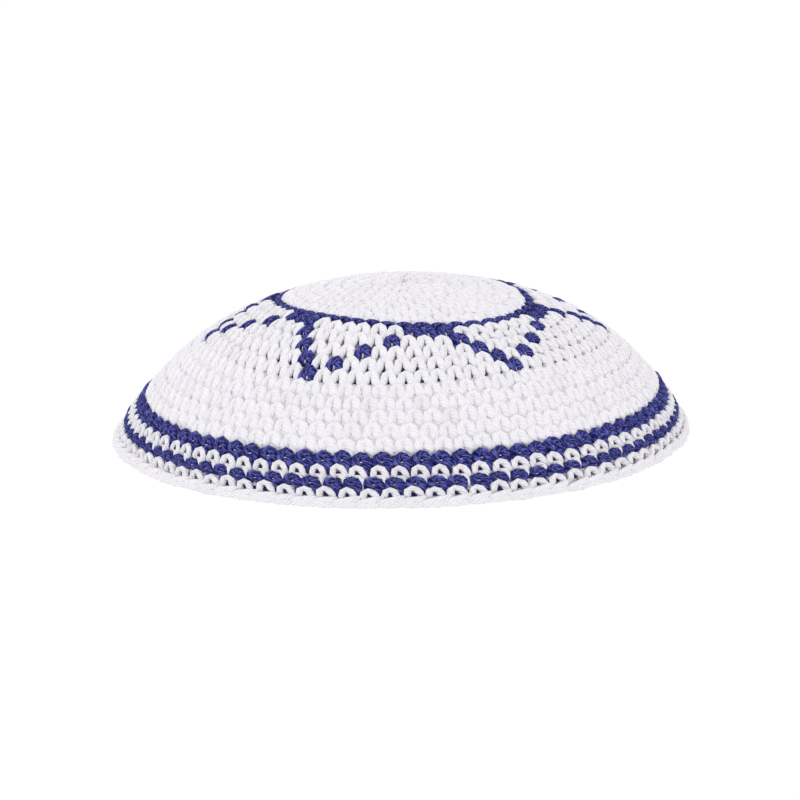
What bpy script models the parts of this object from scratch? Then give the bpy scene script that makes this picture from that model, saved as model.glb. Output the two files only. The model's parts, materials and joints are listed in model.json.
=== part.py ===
"""Crocheted skullcap: a shallow white cotton dome worked in rounds from the middle of the crown out to the rim,
with a blue ring round the crown and two blue stripes above the edge. It stands on its rim, dome up.

Every band of rounds is a solid of its own, cut from one curved wall. Each round shows as a rib on the outside.
Metres, +Z up, the origin in the middle of the rim on the surface that the cap rests on.
"""

from collections import namedtuple
import math

import bpy
import numpy as np

# Driving sizes
RIM_RADIUS = 0.085  # the widest place, at the edge chain
CROWN_HEIGHT = 0.0446  # top of the crown above the surface that the cap rests on
WALL = 0.0032  # thickness of the crocheted cotton
PIECE_GAP = 0.0003  # left between one band and the next
RIB_DEPTH = 0.0007  # how deep the groove between two rounds is
FOOT_WIDTH = 0.0022  # flat underside of the edge chain
CROWN_LEAN = 0.0015  # how far the soft crown sits towards +X of the middle of the rim
CROWN_SLIP = 0.0022  # how far the rounds of the crown have slipped over the dome, towards the back
CROWN_SKEW = 0.0028  # how far handling has pulled them oval: down at the front right, up at the front left
SLIP_FULL = 0.38  # share of the way from the crown to the edge up to which the rounds have slipped fully
SLIP_NONE = 0.76  # share of that way from which on they haven't slipped
SEGMENTS = 54  # facets round the cap, a multiple of the star's six points

# Outer line of the wall from the middle of the crown down to the edge
Section = namedtuple("Section", "reach rise")  # shares of RIM_RADIUS and of CROWN_HEIGHT
OUTLINE = (
    Section(reach=0.000, rise=1.000),
    Section(reach=0.142, rise=0.993),
    Section(reach=0.285, rise=0.960),
    Section(reach=0.402, rise=0.909),
    Section(reach=0.521, rise=0.835),
    Section(reach=0.640, rise=0.728),
    Section(reach=0.758, rise=0.572),
    Section(reach=0.852, rise=0.394),
    Section(reach=0.933, rise=0.212),
    Section(reach=0.973, rise=0.075),
    Section(reach=0.988, rise=0.000),
)
OUTLINE_STEPS = 24  # points worked out between two sections

# Bands from the crown to the edge, with the height of one round beside that of a round of the side band
Band = namedtuple("Band", "name rounds height yarn")
BANDS = (
    Band(name="crown_disc", rounds=8, height=0.98, yarn="white_cotton"),
    Band(name="crown_ring", rounds=1, height=0.58, yarn="blue_cotton"),
    Band(name="star_band", rounds=5, height=1.06, yarn="white_cotton"),
    Band(name="side_band", rounds=5, height=0.99, yarn="white_cotton"),
    Band(name="upper_stripe", rounds=1, height=0.85, yarn="blue_cotton"),
    Band(name="middle_round", rounds=1, height=0.83, yarn="white_cotton"),
    Band(name="lower_stripe", rounds=1, height=0.60, yarn="blue_cotton"),
    Band(name="rim_round", rounds=1, height=0.70, yarn="white_cotton"),
    Band(name="edge_chain", rounds=1, height=0.62, yarn="white_cotton"),
)

# Corners of the rib that one round makes
Corner = namedtuple("Corner", "along sunk")  # share of the round's height, and of RIB_DEPTH below the crest
RIB = (Corner(along=0.0, sunk=1.0), Corner(along=0.25, sunk=0.1), Corner(along=0.7, sunk=0.0))
ROUNDS_PER_INNER_CORNER = 2  # the inner side of the wall is smoother than the outer one
CHAIN_WIDEST = 0.45  # where the edge chain is widest, as a share of its height

YARN_COLOURS = {"white_cotton": (0.87, 0.86, 0.90), "blue_cotton": (0.045, 0.05, 0.25)}
YARN_ROUGHNESS = 0.85
SHARP_ANGLE = math.radians(50)
MERGE_DISTANCE = 0.00002


def smooth_curve(points, steps):
    """Points on a curve through all the given ones, level where it starts on the axis."""
    before = (-points[1][0], points[1][1])
    after = (2 * points[-1][0] - points[-2][0], 2 * points[-1][1] - points[-2][1])
    knots = np.array([before, *points, after])
    t = np.linspace(0, 1, steps, endpoint=False)[:, None]
    runs = [
        b + 0.5 * t * (c - a + t * (2 * a - 5 * b + 4 * c - d + t * (3 * b - a - 3 * c + d)))
        for a, b, c, d in zip(knots, knots[1:], knots[2:], knots[3:])
    ]
    return np.vstack([*runs, knots[-2]])


class Wall:
    """The curved wall, measured along its outer line from the middle of the crown."""

    def __init__(self):
        self.line = smooth_curve([(s.reach * RIM_RADIUS, s.rise * CROWN_HEIGHT) for s in OUTLINE], OUTLINE_STEPS)
        self.walked = np.append(0, np.cumsum(np.hypot(*np.diff(self.line, axis=0).T)))
        slope = np.gradient(self.line, self.walked, axis=0)
        self.inward = np.column_stack([slope[:, 1], -slope[:, 0]])
        self.length = self.walked[-1]

    def at(self, distance, depth=0.0):
        """Radius and height of the point that lies this far along the wall and this deep in it."""
        r, z, inward_r, inward_z = (
            float(np.interp(distance, self.walked, column)) for column in (*self.line.T, *self.inward.T)
        )
        return r + depth * inward_r, z + depth * inward_z

    def slip(self, distance, turn):
        """Where on the wall the place at this distance and this turn from the front has slipped to."""
        full, none = SLIP_FULL * self.length, SLIP_NONE * self.length
        way = min(max((none - distance) / (none - full), 0.0), 1.0)
        share = way * way * (3 - 2 * way)
        distance += CROWN_SKEW * share * math.sin(2 * turn) * min(distance / full, 1.0)
        right = distance * math.sin(turn)
        front = distance * math.cos(turn) - CROWN_SLIP * share
        return math.hypot(right, front), math.atan2(right, front)

    def lay(self, vertex):
        """Lays a point of the flat cloth on the dome: z 0 is its outer side and the crown is on the Z axis."""
        distance, turn = self.slip(math.hypot(vertex.co.x, vertex.co.y), math.atan2(vertex.co.x, -vertex.co.y))
        r, z = self.at(distance, -vertex.co.z)
        vertex.co = (r * math.sin(turn), -r * math.cos(turn), z)


def band_section(start, band, height):
    """A band's cross-section in flat cloth: out along its ribbed outer side, then back along its inner side."""
    first = start + PIECE_GAP / 2 if start > 0 else 0.0
    last = start + band.rounds * height - PIECE_GAP / 2
    outer = []
    for number in range(band.rounds):
        for corner in RIB:
            place = max(first, start + (number + corner.along) * height)
            outer.append((place, -corner.sunk * RIB_DEPTH))
    outer.append((last, -RIB_DEPTH))
    inner = [
        (max(first, start + number * height), -WALL)
        for number in range(0, band.rounds, ROUNDS_PER_INNER_CORNER)
    ]
    inner.append((last, -WALL))
    return outer + inner[::-1]


def chain_section(wall, start):
    """The edge chain's cross-section: a bead under the last round, with a flat foot to stand on."""
    outer_r, outer_z = wall.at(start + PIECE_GAP / 2, RIB_DEPTH)
    inner_r, inner_z = wall.at(start + PIECE_GAP / 2, WALL)
    middle = (RIM_RADIUS + inner_r) / 2
    return [
        (outer_r, outer_z),
        (RIM_RADIUS, CHAIN_WIDEST * outer_z),
        (middle + FOOT_WIDTH / 2, 0.0),
        (middle - FOOT_WIDTH / 2, 0.0),
        (inner_r, inner_z),
    ]


def lean(mesh):
    """Moves the soft crown over towards +X. The edge stays where it rests."""
    for vertex in mesh.vertices:
        rise = min(max(vertex.co.z / CROWN_HEIGHT, 0.0), 1.0)
        vertex.co.x += CROWN_LEAN * rise * (2 - rise)


def turned_band(name, section, collection):
    """Turns a cross-section round the Z axis with a Screw modifier."""
    profile = bpy.data.meshes.new(name + "_profile")
    ends_on_axis = section[0][0] == 0.0
    edges = [(i, i + 1) for i in range(len(section) - 1)]
    if not ends_on_axis:
        edges.append((len(section) - 1, 0))
    profile.from_pydata([(r, 0.0, z) for r, z in section], edges, [])
    band = bpy.data.objects.new(name, profile)
    collection.objects.link(band)

    screw = band.modifiers.new("turn", "SCREW")
    screw.steps = screw.render_steps = SEGMENTS
    screw.use_merge_vertices = True
    screw.merge_threshold = MERGE_DISTANCE

    bpy.context.view_layer.update()
    evaluated = band.evaluated_get(bpy.context.evaluated_depsgraph_get())
    solid = bpy.data.meshes.new_from_object(evaluated)
    solid.name = name
    band.modifiers.clear()
    band.data = solid
    bpy.data.meshes.remove(profile)
    return band


def yarn_material(name):
    material = bpy.data.materials.new(name)
    material.use_nodes = True
    shader = material.node_tree.nodes["Principled BSDF"]
    shader.inputs["Base Color"].default_value = (*YARN_COLOURS[name], 1.0)
    shader.inputs["Roughness"].default_value = YARN_ROUGHNESS
    shader.inputs["Metallic"].default_value = 0.0
    return material


def build():
    for old in list(bpy.data.objects):
        bpy.data.objects.remove(old)
    collection = bpy.data.collections.new("crocheted_skullcap")
    bpy.context.scene.collection.children.link(collection)
    yarns = {name: yarn_material(name) for name in YARN_COLOURS}

    wall = Wall()
    unit = wall.length / sum(band.rounds * band.height for band in BANDS)
    start = 0.0
    for band in BANDS:
        height = band.height * unit
        if band.name == "edge_chain":
            solid = turned_band(band.name, chain_section(wall, start), collection).data
        else:
            solid = turned_band(band.name, band_section(start, band, height), collection).data
            for vertex in solid.vertices:
                wall.lay(vertex)
        lean(solid)
        solid.shade_smooth()
        solid.set_sharp_from_angle(angle=SHARP_ANGLE)
        solid.materials.append(yarns[band.yarn])
        start += band.rounds * height


build()
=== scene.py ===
# %% [markdown]
# # A crocheted skullcap, stitch by stitch
#
# The real cap is one long cotton yarn, crocheted in rounds from the middle of the crown out to the rim. A
# blue yarn takes over for a ring, for a six-pointed zigzag and for two stripes. Its whole look comes from
# the stitches, so this lesson models them one by one: a stitch is drawn once on flat cloth and then laid
# round the dome, round after round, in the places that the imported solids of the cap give.

# %% Load the frame
from collections import namedtuple
import json
import math

import bmesh
import bpy
from mathutils import Matrix, Vector
import numpy as np

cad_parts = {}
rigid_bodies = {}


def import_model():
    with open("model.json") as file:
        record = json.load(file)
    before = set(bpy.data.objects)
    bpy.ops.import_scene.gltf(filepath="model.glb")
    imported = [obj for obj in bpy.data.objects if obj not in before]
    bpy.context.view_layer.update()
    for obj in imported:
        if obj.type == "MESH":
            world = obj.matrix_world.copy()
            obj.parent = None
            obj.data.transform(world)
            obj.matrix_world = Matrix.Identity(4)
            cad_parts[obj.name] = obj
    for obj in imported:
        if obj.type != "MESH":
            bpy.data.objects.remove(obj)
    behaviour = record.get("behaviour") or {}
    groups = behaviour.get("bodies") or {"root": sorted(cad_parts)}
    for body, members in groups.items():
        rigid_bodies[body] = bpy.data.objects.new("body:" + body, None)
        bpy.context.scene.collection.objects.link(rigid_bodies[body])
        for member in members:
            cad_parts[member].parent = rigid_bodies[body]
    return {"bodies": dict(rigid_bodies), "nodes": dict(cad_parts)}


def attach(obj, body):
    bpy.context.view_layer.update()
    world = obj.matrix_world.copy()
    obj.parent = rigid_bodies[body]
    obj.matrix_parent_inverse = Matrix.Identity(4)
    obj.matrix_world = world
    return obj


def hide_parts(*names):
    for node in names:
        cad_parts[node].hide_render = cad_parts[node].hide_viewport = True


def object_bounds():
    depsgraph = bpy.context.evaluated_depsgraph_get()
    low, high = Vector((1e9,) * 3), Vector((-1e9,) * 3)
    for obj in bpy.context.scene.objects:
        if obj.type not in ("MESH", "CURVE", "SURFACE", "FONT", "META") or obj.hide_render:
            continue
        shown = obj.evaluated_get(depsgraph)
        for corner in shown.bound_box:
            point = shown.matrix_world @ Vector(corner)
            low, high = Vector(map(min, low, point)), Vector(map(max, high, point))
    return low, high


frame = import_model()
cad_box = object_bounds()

MM = 0.001
SEED = 1948  # of the chance by which the hand's work strays
chance = np.random.default_rng(SEED)
body = next(iter(frame["bodies"]))  # the cap has one body
print("solids:", sorted(frame["nodes"]), "on body", body)

# %% [markdown]
# ## The shape of the wall
#
# A skullcap is a shallow dome: nearly flat on the crown, steepest just above the rim. One line from the
# crown down to the edge holds that shape. Its sections are shares of the rim's radius and of the crown's
# height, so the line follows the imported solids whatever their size. The soft crown leans a little to one
# side, as it does when the cap stands on a table.

# %% The outer line of the wall
RIM_RADIUS = (cad_box[1].y - cad_box[0].y) / 2
CROWN_HEIGHT = cad_box[1].z
CROWN_LEAN = 1.5 * MM
Section = namedtuple("Section", "reach rise")
OUTLINE = (
    Section(reach=0.000, rise=1.000),
    Section(reach=0.142, rise=0.993),
    Section(reach=0.285, rise=0.960),
    Section(reach=0.402, rise=0.909),
    Section(reach=0.521, rise=0.835),
    Section(reach=0.640, rise=0.728),
    Section(reach=0.758, rise=0.572),
    Section(reach=0.852, rise=0.394),
    Section(reach=0.933, rise=0.212),
    Section(reach=0.973, rise=0.075),
    Section(reach=0.988, rise=0.000),
)
OUTLINE_STEPS = 24  # points worked out between two sections


def smooth_route(points, steps):
    """Points on a smooth curve through all the given ones, whatever their number of columns."""
    p = np.array(points, float)
    knots = np.vstack([2 * p[0] - p[1], p, 2 * p[-1] - p[-2]])
    t = np.linspace(0, 1, steps, endpoint=False)[:, None]
    runs = [
        b + 0.5 * t * (c - a + t * (2 * a - 5 * b + 4 * c - d + t * (3 * b - a - 3 * c + d)))
        for a, b, c, d in zip(knots, knots[1:], knots[2:], knots[3:])
    ]
    return np.vstack([*runs, knots[-2]])


wall_line = smooth_route([(s.reach * RIM_RADIUS, s.rise * CROWN_HEIGHT) for s in OUTLINE], OUTLINE_STEPS)
wall_line[:, 1] = np.minimum(wall_line[:, 1], CROWN_HEIGHT)
wall_walked = np.append(0, np.cumsum(np.hypot(*np.diff(wall_line, axis=0).T)))
wall_slope = np.gradient(wall_line, wall_walked, axis=0)
wall_slope[0] = (1.0, 0.0)  # level in the middle of the crown
WALL_LENGTH = wall_walked[-1]
print(f"the wall is {WALL_LENGTH / MM:.1f} mm long from the crown to the edge")

# %% [markdown]
# ## From flat cloth to dome
#
# Everything below is drawn on flat cloth and then laid on the dome by one function. Its three coordinates
# are the turn round the cap (radians from the front, towards the right), the way down from the crown and the
# way out of the wall. Handling has made the rounds of the crown slip a little to the back of the dome, has
# pulled them oval and lets them sag at the back, and the rounds of the star wander up and down in three slow
# waves. Round the rim they are level again. Nothing sinks below the table: the edge flattens where it rests.

# %% Lay flat cloth on the dome
CROWN_SLIP = 2.2 * MM  # towards the back
CROWN_SKEW = 2.8 * MM  # down at the front right, up at the front left
SLIP_FULL = 0.38 * WALL_LENGTH  # from the crown to here the rounds have slipped fully
SLIP_NONE = 0.76 * WALL_LENGTH  # and from here on not at all
STAR_WAVE = 1.6 * MM  # how far the rounds of the star wander up and down
WAVES = 3  # round the cap
WAVE_CREST = math.radians(-20)  # the turn where they are lowest
BACK_SAG = 2.4 * MM  # how much lower the rounds of the crown lie at the back
WAVE_FULL = (0.50 * WALL_LENGTH, 0.60 * WALL_LENGTH)  # between these places they wander fully
WAVE_PLACES = (SLIP_FULL, *WAVE_FULL, SLIP_NONE)


def slip(turn, down):
    """Where the place at this turn and this far down has slipped to."""
    share = np.clip((SLIP_NONE - down) / (SLIP_NONE - SLIP_FULL), 0.0, 1.0)
    share = share * share * (3 - 2 * share)
    wave = STAR_WAVE * np.interp(down, WAVE_PLACES, (0, 1, 1, 0)) * np.cos(WAVES * (turn - WAVE_CREST))
    skew = CROWN_SKEW * np.sin(2 * turn) + BACK_SAG * np.maximum(-np.cos(turn), 0.0)
    down = down + wave + skew * share * np.minimum(down / SLIP_FULL, 1.0)
    right, front = down * np.sin(turn), down * np.cos(turn) - CROWN_SLIP * share
    return np.arctan2(right, front), np.hypot(right, front)


def lay_on_dome(turn, down, out):
    """Points on the dome for arrays of turn (radians), down and out (metres)."""
    turn, down = slip(turn, down)
    over = np.maximum(down - WALL_LENGTH, 0.0)
    r, z = (np.interp(down, wall_walked, column) for column in wall_line.T)
    slope_r, slope_z = (np.interp(down, wall_walked, column) for column in wall_slope.T)
    size = np.hypot(slope_r, slope_z)
    slope_r, slope_z = slope_r / size, slope_z / size
    radius = r + over * slope_r - out * slope_z
    height = z + over * slope_z + out * slope_r
    rise = np.clip(height / CROWN_HEIGHT, 0.0, 1.0)
    lean = CROWN_LEAN * rise * (2 - rise)
    return np.column_stack([radius * np.sin(turn) + lean, -radius * np.cos(turn), np.maximum(height, 0.0)])


print("front of the rim:", lay_on_dome(np.array([0.0]), np.array([WALL_LENGTH]), np.array([0.0]))[0])

# %% [markdown]
# ## Two cotton yarns
#
# Both yarns are plied: thin plies are twisted round each other, and each shows as a slanted groove. The
# grooves follow the yarn, not the cap, so the material reads the yarn's own UV map: U is the length along
# the yarn and V goes once round it. A sine of both gives the plies, and a stretched noise gives the fibres
# and streaks of colour along them. White cotton is bright with a trace of lilac. Blue cotton has light
# streaks on a deep ground, partly lighter fibres and partly painted sheen: the glint of its fibres put into
# its colour. A tone on each stitch's points makes one stitch a shade darker than the next.

# %% A helper for shader nodes
def add_node(tree, kind, settings=(), **links):
    """A shader node with its settings. Its inputs, by name or as _ and a number, get a socket or a value."""
    node = tree.nodes.new(kind)
    for name, value in dict(settings).items():
        setattr(node, name, value)
    for name, value in links.items():
        socket = node.inputs[int(name[1:])] if name[0] == "_" else node.inputs[name.replace("_", " ")]
        if isinstance(value, bpy.types.NodeSocket):
            tree.links.new(value, socket)
        else:
            socket.default_value = value
    return node


print("a node's inputs are given by name, or by number where two share a name")

# %% The two yarns
PLIES = 3
PLY_TURN = 7.0 * MM  # yarn length in which the plies go once round
PLY_GROOVE = 0.16 * MM
FIBRE_GROOVE = 0.05 * MM
FIBRES_ROUND = 11.0  # coarse fibres that lie side by side round the yarn
FIBRES_ALONG = 600.0  # and how many follow each other in a metre
FIBRE_DETAIL = 3.0
FIBRE_ROUGHNESS = 0.6
Yarn = namedtuple("Yarn", "slot dark light streak_from streak_to roughness gloss sheen")
SHEEN_ROUGHNESS = 0.5
YARNS = (
    Yarn(
        slot="white_cotton",
        dark=(0.90, 0.885, 0.93),
        light=(0.95, 0.93, 0.97),
        streak_from=0.30,
        streak_to=0.70,
        roughness=0.85,
        gloss=0.10,
        sheen=0.05,
    ),
    # The blue's light streaks are partly lighter fibres and partly painted sheen: the glint of its fibres is
    # put into its colour.
    Yarn(
        slot="blue_cotton",
        dark=(0.007, 0.008, 0.102),
        light=(0.19, 0.20, 0.64),
        streak_from=0.44,
        streak_to=0.69,
        roughness=0.80,
        gloss=0.08,
        sheen=0.02,
    ),
)
print(f"a ply goes once round in {PLY_TURN / MM:.0f} mm of yarn")


# %% Yarn materials
def yarn_material(yarn):
    material = bpy.data.materials.new(yarn.slot)
    material.use_nodes = True
    tree = material.node_tree
    shader = tree.nodes["Principled BSDF"]
    uv = add_node(tree, "ShaderNodeUVMap", {"uv_map": "yarn"})
    parts = add_node(tree, "ShaderNodeSeparateXYZ", Vector=uv.outputs["UV"])
    length, around = parts.outputs["X"], parts.outputs["Y"]

    turns = add_node(tree, "ShaderNodeMath", {"operation": "MULTIPLY"}, _0=length, _1=1 / PLY_TURN)
    twist = add_node(tree, "ShaderNodeMath", {"operation": "ADD"}, _0=turns.outputs[0], _1=around)
    phase = add_node(
        tree, "ShaderNodeMath", {"operation": "MULTIPLY"}, _0=twist.outputs[0], _1=math.tau * PLIES
    )
    ply = add_node(tree, "ShaderNodeMath", {"operation": "SINE"}, _0=phase.outputs[0])

    across = add_node(tree, "ShaderNodeMath", {"operation": "MULTIPLY"}, _0=twist.outputs[0], _1=FIBRES_ROUND)
    along = add_node(tree, "ShaderNodeMath", {"operation": "MULTIPLY"}, _0=length, _1=FIBRES_ALONG)
    place = add_node(tree, "ShaderNodeCombineXYZ", X=across.outputs[0], Y=along.outputs[0])
    fibres = add_node(
        tree,
        "ShaderNodeTexNoise",
        Vector=place.outputs[0],
        Scale=1.0,
        Detail=FIBRE_DETAIL,
        Roughness=FIBRE_ROUGHNESS,
    )
    # Light streaks of colour along the fibres: on the blue yarn they are partly real lighter fibres and
    # partly painted sheen.
    fibre_and_sheen_streaks = add_node(
        tree,
        "ShaderNodeMapRange",
        {"clamp": True},
        _0=fibres.outputs[0],
        _1=yarn.streak_from,
        _2=yarn.streak_to,
    )
    tone = add_node(tree, "ShaderNodeAttribute", {"attribute_name": "tone"})
    base = add_node(
        tree,
        "ShaderNodeMix",
        {"data_type": "RGBA"},
        _0=fibre_and_sheen_streaks.outputs[0],
        _6=(*yarn.dark, 1.0),
        _7=(*yarn.light, 1.0),
    )
    tinted = add_node(
        tree,
        "ShaderNodeMix",
        {"data_type": "RGBA", "blend_type": "MULTIPLY"},
        _0=1.0,
        _6=base.outputs[2],
        _7=tone.outputs["Color"],
    )
    tree.links.new(tinted.outputs[2], shader.inputs["Base Color"])

    fine = add_node(tree, "ShaderNodeBump", Height=fibres.outputs[0], Strength=1.0, Distance=FIBRE_GROOVE)
    coarse = add_node(
        tree,
        "ShaderNodeBump",
        Height=ply.outputs[0],
        Strength=1.0,
        Distance=PLY_GROOVE,
        Normal=fine.outputs[0],
    )
    tree.links.new(coarse.outputs[0], shader.inputs["Normal"])
    shader.inputs["Roughness"].default_value = yarn.roughness
    shader.inputs["Specular IOR Level"].default_value = yarn.gloss
    shader.inputs["Sheen Weight"].default_value = yarn.sheen
    shader.inputs["Sheen Roughness"].default_value = SHEEN_ROUGHNESS
    return material


cotton = {yarn.slot: yarn_material(yarn) for yarn in YARNS}
print("yarns:", list(cotton))

# %% [markdown]
# ## Rounds and bands
#
# The cap has nine bands, one for each solid of the frame. The table gives every round of a band its share of
# the wall's length, its number of stitches, how plump their yarn lies beside that of a loose stitch and how
# many stitches of lean it has: the hook pulls each round to the left of the one above, because crochet leans
# that way when it is worked in rounds. The last column is how deep under the outside, in millimetres, the
# band's back starts.

# %% The table of bands
Band = namedtuple("Band", "node rounds height stitches yarn stitch plump lean back")
BANDS = (
    Band("crown_disc", 8, 0.98, (6, 12, 18, 24, 30, 36, 42, 48), "white_cotton", "tight", 1.42, 0.34, 1.0),
    Band("crown_ring", 1, 0.58, (48,), "blue_cotton", "rope", 1.00, 0.34, 1.7),
    Band("star_band", 5, 1.06, (54, 60, 66, 72, 78), "white_cotton", "close", 1.16, 0.34, 2.2),
    Band("side_band", 5, 0.99, (80, 84, 86, 86, 86), "white_cotton", "tight", 1.30, 0.28, 1.1),
    Band("upper_stripe", 1, 0.85, (88,), "blue_cotton", "open", 1.20, 0.20, 1.7),
    Band("middle_round", 1, 0.83, (88,), "white_cotton", "open", 0.92, 0.15, 1.7),
    Band("lower_stripe", 1, 0.60, (88,), "blue_cotton", "open", 1.20, 0.17, 1.7),
    Band("rim_round", 1, 0.70, (86,), "white_cotton", "rim", 1.00, 0.17, 1.7),
    Band("edge_chain", 1, 0.62, (86,), "white_cotton", "chain", 1.00, 0.17, 1.7),
)
STAR_TIP = math.radians(-27.5)  # turn of one lower tip of the zigzag
RIM_PHASE = math.radians(-0.3)  # turn of one stitch of the upper stripe

Round = namedtuple("Round", "node number start height stitches first stitch plump lean")
print(len(BANDS), "bands")


# %% Where each round lies
def list_rounds():
    """Every round with its start on the wall. The turn of its first stitch is set by line_up."""
    unit = WALL_LENGTH / sum(band.rounds * band.height for band in BANDS)
    rounds, start = [], 0.0
    for band in BANDS:
        for number in range(band.rounds):
            height = band.height * unit
            rounds.append(
                Round(
                    node=band.node,
                    number=number,
                    start=start,
                    height=height,
                    stitches=band.stitches[number],
                    first=0.0,
                    stitch=band.stitch,
                    plump=band.plump,
                    lean=band.lean,
                )
            )
            start += height
    return rounds


def line_up(rounds):
    """Sets each round's first stitch a little left of the round above, with a star tip in its place."""
    last_of_star = max(i for i, r in enumerate(rounds) if r.node == "star_band")
    stripe = next(i for i, r in enumerate(rounds) if r.node == "upper_stripe")
    first = [0.0] * len(rounds)
    first[last_of_star] = STAR_TIP
    for i in range(last_of_star - 1, -1, -1):
        first[i] = first[i + 1] + rounds[i + 1].lean * math.tau / rounds[i + 1].stitches
        if rounds[i].node == "star_band" and rounds[i].number == 0:
            first[i] += math.pi / rounds[i].stitches
    for i in range(last_of_star + 1, len(rounds)):
        first[i] = first[i - 1] - rounds[i].lean * math.tau / rounds[i].stitches
        if i == stripe:
            first[i] = RIM_PHASE
    return [r._replace(first=f) for r, f in zip(rounds, first)]


rounds = line_up(list_rounds())
print(len(rounds), "rounds with", sum(r.stitches for r in rounds), "stitches")

# %% [markdown]
# ## One stitch on flat cloth
#
# With the crown up, a single crochet stitch is an arch: the yarn comes up on the left, goes over and comes
# down on the right. In the open rounds near the edge its front loop lies below the arch and dives to the
# right between two arches of the next round. In the tight rounds of the disc and the side, and in the close
# ones of the star, the arches hide it. Each is a short stretch of yarn, so each is made as a rope maker
# would draw it: a ring of points, extruded from station to station along a route. The routes are given in
# shares of a stitch's width, a round's height and the yarn's thickness.

# %% The size of a stitch and of its yarn
STITCH_WIDTH = 5.6 * MM
ROUND_HEIGHT = 4.5 * MM
YARN_WIDTH = 2.0 * MM
YARN_THICKNESS = 1.9 * MM
YARN_SIDES = 7
TAPER = 0.35  # share of its width that a strand loses where it dives at its ends
Knot = namedtuple("Knot", "along down out")
Strand = namedtuple("Strand", "stations wide route")  # wide: beside the yarn's usual width
print(f"a stitch is {STITCH_WIDTH / MM} mm wide and a round {ROUND_HEIGHT / MM} mm high")

# %% Arches of the tight, the close and the open stitch
TIGHT_ARCH = Strand(9, 1.42, (
    Knot(-0.28, 1.24, -1.60),
    Knot(-0.33, 1.02, -1.00),
    Knot(-0.29, 0.80, -0.68),
    Knot(-0.22, 0.55, -0.55),
    Knot(-0.16, 0.34, -0.52),
    Knot(0.00, 0.27, -0.52),
    Knot(0.17, 0.35, -0.52),
    Knot(0.23, 0.58, -0.55),
    Knot(0.30, 0.84, -0.70),
    Knot(0.36, 1.08, -1.00),
    Knot(0.36, 1.30, -1.60),
))
CLOSE_ARCH = Strand(9, 1.36, (
    Knot(-0.30, 1.24, -1.60),
    Knot(-0.37, 1.04, -1.00),
    Knot(-0.33, 0.84, -0.68),
    Knot(-0.25, 0.60, -0.56),
    Knot(-0.19, 0.35, -0.52),
    Knot(0.00, 0.26, -0.52),
    Knot(0.19, 0.35, -0.52),
    Knot(0.26, 0.60, -0.56),
    Knot(0.35, 0.86, -0.70),
    Knot(0.41, 1.08, -1.00),
    Knot(0.40, 1.30, -1.60),
))
OPEN_ARCH = Strand(9, 1.12, (
    Knot(-0.22, 1.22, -1.45),
    Knot(-0.26, 0.95, -0.90),
    Knot(-0.27, 0.66, -0.56),
    Knot(-0.26, 0.38, -0.49),
    Knot(-0.19, 0.23, -0.48),
    Knot(-0.05, 0.19, -0.48),
    Knot(0.09, 0.24, -0.48),
    Knot(0.20, 0.40, -0.48),
    Knot(0.30, 0.62, -0.52),
    Knot(0.39, 0.88, -0.72),
    Knot(0.45, 1.14, -1.20),
))
OPEN_LOOP = Strand(7, 0.97, (
    Knot(-0.22, 0.92, -1.30),
    Knot(-0.07, 0.84, -0.95),
    Knot(0.10, 0.88, -0.80),
    Knot(0.23, 1.06, -0.72),
    Knot(0.31, 1.32, -0.78),
    Knot(0.34, 1.56, -1.05),
    Knot(0.34, 1.78, -1.50),
))
print("an arch runs through", len(OPEN_ARCH.route), "knots")

# %% The rope round the crown, the passing yarn and the chain
# Round the crown the blue stitches lie flat, one over the end of the next, like the strands of a rope.
ROPE_ARCH = Strand(9, 1.10, (
    Knot(-0.66, 0.62, -1.45),
    Knot(-0.48, 0.44, -0.95),
    Knot(-0.20, 0.27, -0.67),
    Knot(0.14, 0.25, -0.65),
    Knot(0.42, 0.38, -0.77),
    Knot(0.58, 0.60, -1.15),
    Knot(0.64, 0.84, -1.60),
))
# The yarn that isn't in use runs behind each stitch of the other yarn.
PASSING = Strand(5, 0.60, (
    Knot(-0.45, 0.74, -1.60),
    Knot(-0.20, 0.72, -1.05),
    Knot(0.15, 0.70, -1.05),
    Knot(0.40, 0.72, -1.60),
))
# The chain that closes the last round: each loop's upper strand climbs to the right, over its lower strand.
CHAIN_UPPER = Strand(9, 1.00, (
    Knot(-0.72, 1.08, -0.95),
    Knot(-0.50, 1.02, -0.35),
    Knot(-0.22, 0.94, -0.06),
    Knot(0.10, 0.86, -0.04),
    Knot(0.38, 0.77, -0.20),
    Knot(0.58, 0.70, -0.60),
    Knot(0.70, 0.66, -1.10),
))
CHAIN_LOWER = Strand(8, 1.00, (
    Knot(-0.66, 1.10, -1.00),
    Knot(-0.42, 1.13, -0.32),
    Knot(-0.05, 1.15, -0.02),
    Knot(0.30, 1.13, -0.12),
    Knot(0.58, 1.07, -0.60),
    Knot(0.70, 1.02, -1.10),
))
print("a strand of the chain runs through", len(CHAIN_UPPER.route), "knots")

# %% Which strands make which stitch
STITCHES = {
    "tight": (TIGHT_ARCH,),
    "close": (CLOSE_ARCH,),
    "open": (OPEN_ARCH, OPEN_LOOP),
    "rim": (OPEN_ARCH,),
    "rope": (ROPE_ARCH,),
    "chain": (CHAIN_UPPER, CHAIN_LOWER),
}
print("kinds of stitch:", list(STITCHES))

# %% Draw a strand
ROUTE_STEPS = 12  # points worked out between two knots
SEAM = 0.25  # share of the way round the yarn from its side to where its UV map starts
StrandMesh = namedtuple("StrandMesh", "points faces uv")


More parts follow.
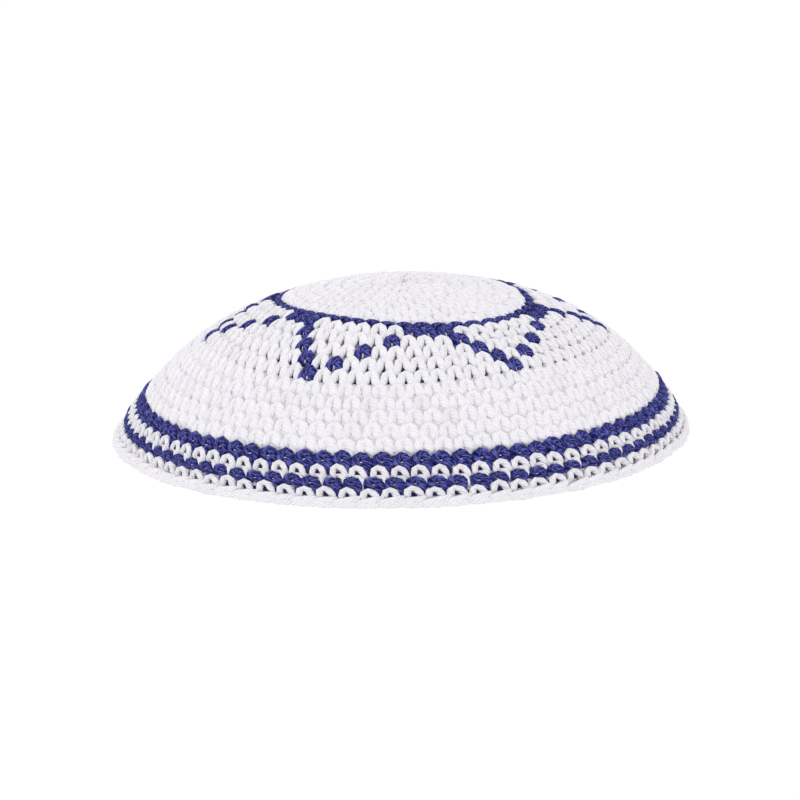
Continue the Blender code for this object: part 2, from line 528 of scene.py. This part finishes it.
def draw_strand(strand, plump):
    """A short stretch of yarn along its route, as arrays: right, up and out, with the yarn's UV map."""
    stations, wide = strand.stations, YARN_WIDTH * strand.wide * plump
    size = np.array([STITCH_WIDTH, -ROUND_HEIGHT, YARN_THICKNESS])
    fine = smooth_route(np.array(strand.route) * size, ROUTE_STEPS)
    walked = np.append(0, np.cumsum(np.linalg.norm(np.diff(fine, axis=0), axis=1)))
    places = np.linspace(0, walked[-1], stations)
    centre = np.column_stack([np.interp(places, walked, column) for column in fine.T])
    ahead = np.gradient(centre, axis=0)

    def station(i):
        """Matrix that carries a unit ring to this station, square to the yarn."""
        forward = Vector(ahead[i]).normalized()
        out = Vector((0, 0, 1))
        out = (out - forward * out.dot(forward)).normalized()
        side = out.cross(forward)
        narrow = 1 - TAPER * abs(2 * i / (stations - 1) - 1) ** 3
        turn = Matrix((side, out, forward)).transposed().to_4x4()
        width = Matrix.Diagonal((wide * narrow, YARN_THICKNESS * narrow, 1.0, 1.0))
        return Matrix.Translation(centre[i]) @ turn @ width

    bm = bmesh.new()
    yarn_place = bm.verts.layers.float_vector.new("yarn_place")
    ring = bmesh.ops.create_circle(bm, cap_ends=False, segments=YARN_SIDES, radius=0.5)["verts"]
    for v in ring:
        v[yarn_place] = (0.0, (math.atan2(v.co.y, v.co.x) / math.tau + SEAM) % 1.0, 0.0)
    bmesh.ops.transform(bm, matrix=station(0), verts=ring)
    rings = [ring]
    for i in range(1, stations):
        edges = [e for e in bm.edges if all(v in rings[-1] for v in e.verts)]
        grown = bmesh.ops.extrude_edge_only(bm, edges=edges)["geom"]
        ring = [v for v in grown if isinstance(v, bmesh.types.BMVert)]
        for v in ring:
            v[yarn_place] = (places[i], v[yarn_place].y, 0.0)
        bmesh.ops.transform(bm, matrix=station(i) @ station(i - 1).inverted(), verts=ring)
        rings.append(ring)
    bmesh.ops.holes_fill(bm, edges=[e for e in bm.edges if e.is_boundary], sides=YARN_SIDES)
    bmesh.ops.recalc_face_normals(bm, faces=bm.faces)

    bm.verts.index_update()
    points = np.array([v.co for v in bm.verts])
    faces = [[v.index for v in f.verts] for f in bm.faces]
    uv = []
    for f in bm.faces:
        places_on_face = [v[yarn_place] for v in f.verts]
        around = [place.y for place in places_on_face]
        wraps = max(around) - min(around) > 0.5
        for place in places_on_face:
            past_seam = wraps and place.y < 0.5
            uv.append((place.x, place.y + (1.0 if past_seam else 0.0)))
    bm.free()
    return StrandMesh(points, faces, np.array(uv))


sample = draw_strand(TIGHT_ARCH, 1.0)
print("an arch has", len(sample.faces), "faces")

# %% [markdown]
# ## Many stitches in one mesh
#
# A round is the same stitch laid again and again, each a little different, as hand work is. Copying arrays
# of points is far quicker than duplicating objects, and the whole band is then one mesh, as it is one cloth.


# %% One mesh for a band
class Cloth:
    """Collects strands on the dome and makes one object of them."""

    def __init__(self):
        self.points, self.faces, self.uv, self.tone = [], [], [], []
        self.count = 0

    def add(self, points, faces, uv, tone):
        self.points.append(points)
        self.faces += [[i + self.count for i in face] for face in faces]
        self.uv.append(uv)
        self.tone.append(np.full(len(points), tone))
        self.count += len(points)

    def make(self, name, yarn):
        mesh = bpy.data.meshes.new(name)
        mesh.from_pydata(np.vstack(self.points).tolist(), [], self.faces)
        mesh.uv_layers.new(name="yarn").data.foreach_set("uv", np.vstack(self.uv).ravel())
        tone = mesh.color_attributes.new("tone", "FLOAT_COLOR", "POINT")
        shade = np.concatenate(self.tone)
        tone.data.foreach_set("color", np.column_stack([shade, shade, shade, np.ones_like(shade)]).ravel())
        mesh.materials.append(cotton[yarn])
        mesh.shade_smooth()
        piece = bpy.data.objects.new(name, mesh)
        bpy.context.scene.collection.objects.link(piece)
        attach(piece, body)
        return piece


print("a cloth starts with", Cloth().count, "points")

# %% How the hand's work strays
Drift = namedtuple("Drift", "turn down out size tilt")  # turn in stitches, down and out in millimetres
SPREAD = Drift(turn=0.028, down=0.17, out=0.07, size=0.045, tilt=math.radians(3.2))
TONE_SPREAD = 0.02


def hand_drift():
    """How far one stitch strays from the even one."""
    stray = Drift(*(chance.normal(0, spread) for spread in SPREAD))
    return stray._replace(down=stray.down * MM, out=stray.out * MM, size=1 + stray.size)


def hand_tone():
    """How bright one stitch is beside the brightest."""
    return 1 - abs(chance.normal(0, TONE_SPREAD))


print(f"most stitches stray less than {SPREAD.down} mm up or down")

# %% Lay stitches in a round
# How tall the routes are drawn in rounds where the round's own height doesn't give it
ROUTE_SCALE = {"crown_ring": 0.9, "rim_round": 0.75, "edge_chain": 1.0}


def lay_stitch(cloth, row, number, strands, drift, tone):
    """Lays the strands of one stitch of a round on the dome."""
    pitch = math.tau / row.stitches
    turn = row.first + (number + drift.turn) * pitch
    tall = ROUTE_SCALE.get(row.node, row.height / ROUND_HEIGHT)
    cos, sin = math.cos(drift.tilt), math.sin(drift.tilt)
    middle = -ROUND_HEIGHT / 2
    for piece in strands:
        right, up, out = piece.points.T
        right, up = cos * right - sin * (up - middle), middle + sin * right + cos * (up - middle)
        points = lay_on_dome(
            turn + right * drift.size / STITCH_WIDTH * pitch,
            row.start + drift.down - up * tall,
            out + drift.out,
        )
        uv = piece.uv + (chance.uniform(0, PLY_TURN), 0.0)
        cloth.add(points, piece.faces, uv, tone)


def crochet(cloth, row, wanted=lambda number: True, behind=None):
    """Works a whole round, or those of its stitches that are wanted, with the other yarn passing behind."""
    strands = [draw_strand(strand, row.plump) for strand in STITCHES[row.stitch]]
    passing = [draw_strand(PASSING, 1.0)]
    for number in range(row.stitches):
        drift, tone = hand_drift(), hand_tone()
        if wanted(number):
            lay_stitch(cloth, row, number, strands, drift, tone)
            if behind:
                lay_stitch(behind, row, number, passing, drift, tone)


print(f"a stitch of the last round is {math.tau * RIM_RADIUS / rounds[-1].stitches / MM:.1f} mm wide")

# %% [markdown]
# ## The back of the cloth
#
# Behind the arches lies the rest of each stitch. A thin ring of cloth stands for it: a short cross-section,
# spun once round the axis. It shuts out the light between the stitches and is what shows inside the cap.

# %% Backing rings
BACK_INNER = -2.9 * MM
BACK_STEPS = 72
BACK_FACET = 2.2 * MM
BACK_TONE = 0.97
GRAIN = 4.4 * MM  # length of yarn that the UV map counts in each facet
GRAIN_ROUND = 0.1  # and share of the way round the yarn
MERGE_DISTANCE = 0.001 * MM


def backing(cloth, first, last, depth):
    """A thin closed ring behind the stitches between two places on the wall, from this deep on."""
    count = max(2, round((last - first) / BACK_FACET) + 1)
    down = np.linspace(first, last, count)
    spin_ring(cloth, [(d, -depth * MM) for d in down] + [(d, BACK_INNER) for d in down[::-1]])


def spin_ring(cloth, section, lift=lambda turn: 0.0):
    """Spins a section (down, out) into a flat ring, which is lifted and laid on the dome."""
    bm = bmesh.new()
    verts = [bm.verts.new((down, 0.0, out)) for down, out in section]
    pairs = list(zip(verts, verts[1:])) + ([(verts[-1], verts[0])] if section[0][0] > 0 else [])
    edges = [bm.edges.new(pair) for pair in pairs]
    bmesh.ops.spin(
        bm,
        geom=verts + edges,
        cent=(0, 0, 0),
        axis=(0, 0, 1),
        angle=math.tau,
        steps=BACK_STEPS,
        use_merge=True,
    )
    bmesh.ops.remove_doubles(bm, verts=bm.verts, dist=MERGE_DISTANCE)
    bmesh.ops.recalc_face_normals(bm, faces=bm.faces)
    bm.verts.index_update()
    right, back, out = np.array([v.co for v in bm.verts]).T
    turn = np.arctan2(right, -back)
    points = lay_on_dome(turn, np.hypot(right, back), out + lift(turn))
    faces = [[v.index for v in f.verts] for f in bm.faces]
    uv = np.array([(GRAIN * j, GRAIN_ROUND * j) for f in bm.faces for j in range(len(f.verts))])
    cloth.add(points, faces, uv, BACK_TONE)
    bm.free()


print("a backing ring is spun in", BACK_STEPS, "steps")

# %% [markdown]
# ## Working the cap
#
# Each band replaces its plain solid. In the star band, some stitches are blue: one at each lower tip, then
# pairs that part by one stitch in each round above, until three blue stitches close the corner under the
# ring. The yarn that isn't in use is carried along behind the stitches and shows through their holes.
# Carried yarn is a thin tube, spun round like a backing ring. Behind the star it comes near the outside only
# at the front.

# %% Carried yarn
CARRIED_WIDTH = 1.1 * MM
CARRIED_SIDES = 6
CARRIED_DEPTH = -2.20 * MM
CARRIED_RISE = 0.70 * MM  # how much nearer the outside it lies at its nearest
CARRIED_NEAREST = math.radians(6)  # and the turn where that is
CARRIED_SPREAD = math.radians(16)


def near_the_front(turn):
    """How far the carried yarn comes out at this turn: most near the front, and little anywhere else."""
    return CARRIED_RISE * np.exp(-((turn - CARRIED_NEAREST) / CARRIED_SPREAD) ** 2)


def carry(cloth, row, share, lift):
    """The other yarn, carried along behind a round, at this share of its height."""
    down, radius = row.start + share * row.height, CARRIED_WIDTH / 2
    corners = [math.tau * i / CARRIED_SIDES for i in range(CARRIED_SIDES)]
    section = [(down + radius * math.cos(a), CARRIED_DEPTH + radius * math.sin(a)) for a in corners]
    spin_ring(cloth, section, lift)


print(f"carried yarn is {CARRIED_WIDTH / MM:.1f} mm thick")

# %% The star's chart
STAR_POINTS = 6
STAR_CHART = (  # one sixth of each round, from the middle of a point of the star on: # is a blue stitch
    "...###...",
    "...#...#..",
    "..#......#.",
    ".#.........#",
    "#............",
)


def is_star_stitch(row, number):
    """Whether this stitch of the star band is worked in blue."""
    sixth = STAR_CHART[row.number]
    return sixth[number % len(sixth)] == "#"


print("blue stitches in the star:", STAR_POINTS * sum(row.count("#") for row in STAR_CHART))

# %% All bands but the chain
FIRST_CARRYING_ROUND = 3  # of the star band, counted from 0
STAR_CARRIED_AT = 0.84  # share of the round's height
EDGE_CARRIED_AT = 0.62
for band in BANDS[:-1]:
    rows = [r for r in rounds if r.node == band.node]
    cloth = Cloth()
    other = Cloth()
    for row in rows:
        if band.node == "star_band":
            crochet(cloth, row, lambda number, row=row: not is_star_stitch(row, number))
            crochet(other, row, lambda number, row=row: is_star_stitch(row, number), behind=cloth)
            if row.number >= FIRST_CARRYING_ROUND:
                carry(other, row, STAR_CARRIED_AT, near_the_front)
        elif band.node in ("upper_stripe", "lower_stripe"):
            crochet(cloth, row, behind=other)
        else:
            crochet(cloth, row)
    if band.node in ("middle_round", "rim_round"):
        carry(other, rows[0], EDGE_CARRIED_AT, lambda turn: CARRIED_RISE)
    backing(cloth, rows[0].start, rows[-1].start + rows[-1].height, band.back)
    piece = cloth.make(band.node + "_crochet", band.yarn)
    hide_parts(band.node)
    if other.count:
        name = "star_zigzag" if band.node == "star_band" else f"yarn_behind_{band.node}"
        other.make(name, "white_cotton" if band.yarn == "blue_cotton" else "blue_cotton")
    print(piece.name, len(piece.data.polygons), "faces")

# %% [markdown]
# ## The chain at the edge
#
# Every last stitch ends in a loop that lies over the next one, so the rim looks like a thick braid. Its two
# strands are drawn below the stitches of the last round and keep step with them, and so they take that
# round's place and its number of stitches.

# %% The chain at the edge
EDGE_GAP = 0.2 * MM  # from the back of the chain to the end of the wall
chain_band = BANDS[-1]
last_round = next(r for r in rounds if r.node == "rim_round")
row = last_round._replace(node=chain_band.node, stitch=chain_band.stitch, plump=chain_band.plump)
cloth = Cloth()
crochet(cloth, row)
backing(cloth, row.start + row.height, WALL_LENGTH - EDGE_GAP, chain_band.back)
chain = cloth.make("edge_chain_crochet", chain_band.yarn)
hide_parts("edge_chain")
lowest = min(v.co.z for v in chain.data.vertices)
print(f"the chain's lowest point is {lowest / MM:.2f} mm above the table")

# %% [markdown]
# ## Table and light
#
# The photograph has hardly a shadow: its ground is pure white. So the cap stands on a table that glows by
# itself, in soft light from all sides, with one weak lamp at the front left that gives each stitch a lit and
# a shaded side.

# %% The table
TABLE_SIZE = 8.0
SOFT_LIGHT = 1.02  # strength of the light from the table and from all sides
table_mesh = bpy.data.meshes.new("table")
bm = bmesh.new()
bmesh.ops.create_grid(bm, x_segments=1, y_segments=1, size=TABLE_SIZE / 2)
bm.to_mesh(table_mesh)
bm.free()
table = bpy.data.objects.new("table", table_mesh)
bpy.context.scene.collection.objects.link(table)
paper = bpy.data.materials.new("paper")
paper.use_nodes = True
glow = paper.node_tree.nodes["Principled BSDF"]
glow.inputs["Base Color"].default_value = (0, 0, 0, 1)
glow.inputs["Specular IOR Level"].default_value = 0.0
glow.inputs["Emission Color"].default_value = (1, 1, 1, 1)
glow.inputs["Emission Strength"].default_value = SOFT_LIGHT
table_mesh.materials.append(paper)
print("the table is", TABLE_SIZE, "m wide")

# %% Light
world = bpy.data.worlds.new("soft_daylight")
world.use_nodes = True
sky = world.node_tree.nodes["Background"]
sky.inputs["Color"].default_value = (1.0, 1.0, 1.0, 1.0)
sky.inputs["Strength"].default_value = SOFT_LIGHT
bpy.context.scene.world = world
bpy.context.scene.view_settings.view_transform = "Standard"

LAMP_PLACE = Vector((-0.9, -0.8, 1.5))
LAMP_SIZE = 0.7
LAMP_WATTS = 2.0
light = bpy.data.lights.new("lamp", "AREA")
light.shape = "DISK"
light.size = LAMP_SIZE
light.energy = LAMP_WATTS
lamp = bpy.data.objects.new("lamp", light)
lamp.location = LAMP_PLACE
towards_cap = Vector((0, 0, CROWN_HEIGHT / 2)) - LAMP_PLACE
lamp.rotation_euler = towards_cap.to_track_quat("-Z", "Y").to_euler()
bpy.context.scene.collection.objects.link(lamp)
print("one lamp of", LAMP_WATTS, "watts, and soft light of strength", SOFT_LIGHT)

# %% [markdown]
# ## Camera
#
# The camera is far away with a long lens, a little above the rim, and turned by about a degree, as the
# photograph is. It aims at a point inside the cap, which lies above the picture's middle.

# %% Camera
PICTURE = 800  # pixels each way
FOCAL = 3260.0  # focal length in those pixels
DISTANCE = 0.950
ELEVATION = math.radians(12.9)
AIM_HEIGHT = 27.4 * MM
AIM_ABOVE_MIDDLE = 60.3  # pixels from the picture's middle up to the aimed point
ROLL = math.radians(-1.25)
SENSOR = 36.0  # mm
camera_data = bpy.data.cameras.new("camera")
camera_data.sensor_width = SENSOR
camera_data.lens = camera_data.sensor_width * FOCAL / PICTURE
camera = bpy.data.objects.new("camera", camera_data)
camera.location = (0, -DISTANCE * math.cos(ELEVATION), AIM_HEIGHT + DISTANCE * math.sin(ELEVATION))
drop = math.atan(AIM_ABOVE_MIDDLE / FOCAL)
pitch = Matrix.Rotation(math.pi / 2 - ELEVATION - drop, 4, "X")
camera.matrix_world = Matrix.Translation(camera.location) @ pitch @ Matrix.Rotation(ROLL, 4, "Z")
bpy.context.scene.collection.objects.link(camera)
bpy.context.scene.camera = camera
print(f"a lens of {camera_data.lens:.0f} mm at {DISTANCE} m")

# %% Sizes and the end
print("CAD box", [tuple(round(x / MM, 1) for x in c) for c in cad_box])
